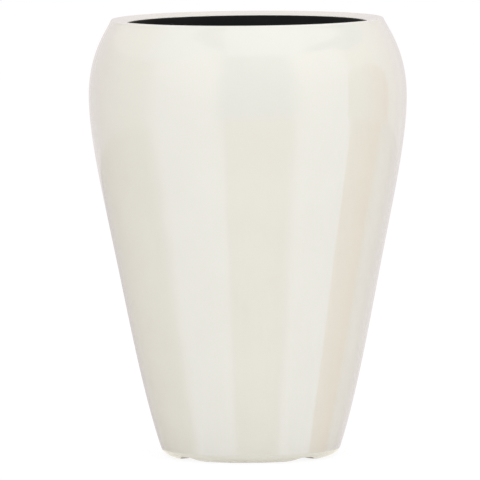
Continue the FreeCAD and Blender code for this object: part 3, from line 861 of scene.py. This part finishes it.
def ring_of_cards(name, stops, line):
    """A strip round the planter with (angle, colour, top height) stops.

    Angles are directions in degrees to the right of the camera's side. The line gives, in metres,
    the strip's radii and heights and the radius of the planter where the mirrored rays start. A
    height of None stands for the top height of the stops.
    """
    angles = sorted({stop[0] for stop in stops} | {angle for angle in range(-180, 181, 3)
                                                   if stops[0][0] < angle < stops[-1][0]})
    vertices, colours, faces = [], [], []
    for radius, height, start_radius in line:
        for angle in angles:
            colour, top = blended(stops, angle)
            turn = TURN + spot_angle(angle, radius, start_radius)
            vertices.append((radius * math.sin(turn), -radius * math.cos(turn),
                             top if height is None else height))
            colours.extend((*colour, 1.0))
    across = len(angles)
    for row in range(len(line) - 1):
        for step in range(across - 1):
            near = row * across + step
            faces.append((near, near + 1, near + across + 1, near + across))
    return glowing_card(name, vertices, faces, colours)


def glowing_card(name, vertices, faces, colours):
    """A mesh whose painted colours glow, for mirror rays alone."""
    mesh = bpy.data.meshes.new(name)
    mesh.from_pydata(vertices, [], faces)
    mesh.color_attributes.new("glow", "FLOAT_COLOR", "POINT").data.foreach_set("color", colours)
    mesh.materials.append(card_glow)
    board = bpy.data.objects.new(name, mesh)
    bpy.context.scene.collection.objects.link(board)
    board.visible_camera = False
    board.visible_diffuse = False
    board.visible_shadow = False
    board.visible_transmission = False
    return board


card_glow = bpy.data.materials.new("card_glow")
card_glow.use_nodes = True
card_glow.node_tree.nodes.clear()
paint = add_node(card_glow, "ShaderNodeAttribute", attribute_name="glow")
light = add_node(card_glow, "ShaderNodeEmission", Strength=1.0)
card_output = add_node(card_glow, "ShaderNodeOutputMaterial")
wire(card_glow, paint.outputs["Color"], light.inputs["Color"])
wire(card_glow, light.outputs[0], card_output.inputs["Surface"])
print("card glow ready")

# %% [markdown]
# ## Tones and places of the cards
#
# A few tones serve all the cards: the cool white of a soft box, the paler and dimmer walls of the
# room, and the warm board. Each light was first rendered alone, and a least-squares fit told how
# strongly each should glow to give bands like those in the photograph. Its answers were then
# grouped into these ten tones. The lamps' powers come from the same fit. No card is much
# brighter than 1, or it would burn out where the lacquer is seen at a grazing angle.
#
# The rings on the floor stand closer together near the planter's foot, because the mirrored
# picture of the floor is most squeezed there.

# %% The tones
SOFT_BOX = (0.95, 1.00, 1.10)
CEILING_PANEL = (0.80, 0.90, 1.10)
COOL_SHADE = (0.50, 0.60, 0.75)
SHADE = (0.65, 0.60, 0.60)
PALE_WALL = (0.80, 0.75, 0.75)
DIM_WALL = (0.55, 0.50, 0.45)
WARM = (0.70, 0.50, 0.40)
DEEP_WARM = (0.60, 0.40, 0.25)
UNDER_SHADE = (0.40, 0.35, 0.30)
BRIGHT_PAPER = (1.00, 0.95, 0.85)
print("a soft box is", SOFT_BOX)

# %% The rings of the floor
FOOT_RING, LAST_RING, FLOOR_RINGS = 0.16, 2.8, 9
BELLY_START, FOOT_START, START_RUN = 0.27, 0.15, 0.65


def ray_start(radius):
    """Radius of the planter where a ray starts that lands this far out on the floor.

    Rays to nearby spots start low on the wall, where it is slim, and rays to far ones at the belly.
    """
    return BELLY_START - (BELLY_START - FOOT_START) * math.exp((FOOT_RING - radius) / START_RUN)


floor_radii = [FOOT_RING * (LAST_RING / FOOT_RING) ** (ring / (FLOOR_RINGS - 1))
               for ring in range(FLOOR_RINGS)]
FLOOR_LINE = [(radius, 0.003, ray_start(radius)) for radius in floor_radii]
FLOOR_LINE.append((3.0, None, BELLY_START))
print("rings on the floor:", [round(radius, 2) for radius in floor_radii])

# %% The cards round the planter
cards = [
    ring_of_cards("cards_on_the_floor", [
        (-180, SHADE, 0.1), (-165, SHADE, 0.1), (-135, DIM_WALL, 0.02), (-84, DIM_WALL, 0.01),
        (-67, SOFT_BOX, 0.01), (-22, SOFT_BOX, 0.03), (-15, SHADE, 0.07), (31, SHADE, 0.12),
        (40, SOFT_BOX, 0.13), (81.2, SOFT_BOX, 0.16), (81.6, WARM, 0.16), (112, DEEP_WARM, 0.16),
        (119, SHADE, 0.16), (140, SHADE, 0.1), (165, PALE_WALL, 0.1), (180, PALE_WALL, 0.1),
    ], FLOOR_LINE),
    ring_of_cards("cards_on_the_wall", [
        (-180, PALE_WALL, 1.6), (-165, PALE_WALL, 1.6), (-135, SHADE, 1.6), (-86, SHADE, 1.9),
        (-68, SOFT_BOX, 2.3), (-26, SOFT_BOX, 3.3), (-16, COOL_SHADE, 2.9), (29, COOL_SHADE, 2.9),
        (42, SOFT_BOX, 2.9), (78.5, SOFT_BOX, 2.7), (88, PALE_WALL, 2.3), (125, PALE_WALL, 2.2),
        (140, PALE_WALL, 1.6), (180, PALE_WALL, 1.6),
    ], [(3.02, 0.005, BELLY_START), (3.02, None, BELLY_START)]),
    ring_of_cards("warm_board", [
        (77.9, SHADE, 0.9), (79.5, SHADE, 1.2), (84, SHADE, 1.45), (93, SHADE, 1.52),
        (108, WARM, 1.42), (117, WARM, 1.2), (122, WARM, 0.95), (123.5, WARM, 0.6),
    ], [(2.79, 0.006, BELLY_START), (2.95, 0.08, BELLY_START), (2.95, None, BELLY_START)]),
    ring_of_cards("cards_above", [
        (-180, PALE_WALL, 6), (-100, PALE_WALL, 6), (-80, CEILING_PANEL, 6), (45, CEILING_PANEL, 6),
        (60, COOL_SHADE, 6), (110, COOL_SHADE, 6), (130, PALE_WALL, 6), (180, PALE_WALL, 6),
    ], [(3.4, 1.2, 0.26), (3.4, None, 0.26)]),
]
print("rings of cards:", len(cards))

# %% [markdown]
# ## Cards above and below
#
# A large panel hangs over the planter, with one corner shaded by a flag. Under the planter a dark
# disc stands for the shade between the feet, and a bright ring round it for the paper that
# shows in the lacquer just above the ground.

# %% Flat cards
def flat_card(name, corners, height, colour):
    """A level card above the planter; corners are metres right of the axis and behind it."""
    turn = Matrix.Rotation(TURN, 3, "Z")
    vertices = [turn @ Vector((*corner, height)) for corner in corners]
    return glowing_card(name, vertices, [tuple(range(len(corners)))], [*colour, 1.0] * len(corners))


PANEL_CORNERS = [(-0.87, -2.68), (1.93, -2.78), (3.22, 0.47), (3.0, 2.0), (-3.0, 2.0), (-2.0, -1.08)]
FLAG_CORNERS = [(-1.82, -1.23), (-0.87, -2.68), (-0.75, -1.74)]
SHADE_RADIUS = 0.136
shade_corners = [(SHADE_RADIUS * math.cos(math.radians(angle)), SHADE_RADIUS * math.sin(math.radians(angle)))
                 for angle in range(0, 360, 6)]
cards.append(flat_card("overhead_panel", PANEL_CORNERS, 3.0, CEILING_PANEL))
cards.append(flat_card("overhead_flag", FLAG_CORNERS, 2.99, COOL_SHADE))
cards.append(flat_card("shade_under_the_planter", shade_corners, 0.0004, UNDER_SHADE))
cards.append(ring_of_cards("floor_at_the_foot", [(-180, BRIGHT_PAPER, 0), (180, BRIGHT_PAPER, 0)],
                           [(SHADE_RADIUS, 0.0005, 0.0), (0.163, 0.002, 0.0)]))
print("cards:", len(cards))

# %% [markdown]
# ## Lamps
#
# Three large soft lamps light the form: one from the front left, one from the front right and
# one from above. They are hidden from mirror rays, because the cards already stand for the
# soft boxes in the reflections.

# %% Three soft lamps
def soft_lamp(name, angle, height, distance, size, power):
    lamp_data = bpy.data.lights.new(name, "AREA")
    lamp_data.shape = "RECTANGLE"
    lamp_data.size, lamp_data.size_y = size
    lamp_data.energy = power
    lamp = bpy.data.objects.new(name, lamp_data)
    bpy.context.scene.collection.objects.link(lamp)
    turn = TURN + math.radians(angle)
    lamp.location = (distance * math.sin(turn), -distance * math.cos(turn), height)
    lamp.rotation_euler = (Vector((0, 0, 0.4)) - lamp.location).to_track_quat("-Z", "Y").to_euler()
    lamp.visible_camera = False
    lamp.visible_glossy = False
    return lamp


soft_lamp("lamp_front_left", -40.0, 2.0, 3.5, (2.0, 2.5), 16.5)
soft_lamp("lamp_front_right", 45.0, 2.0, 3.5, (2.0, 2.5), 21.5)
soft_lamp("lamp_above", 0.0, 4.0, 0.5, (2.5, 2.5), 25.5)
bpy.context.scene.view_settings.view_transform = "Standard"
print("lamps in place")
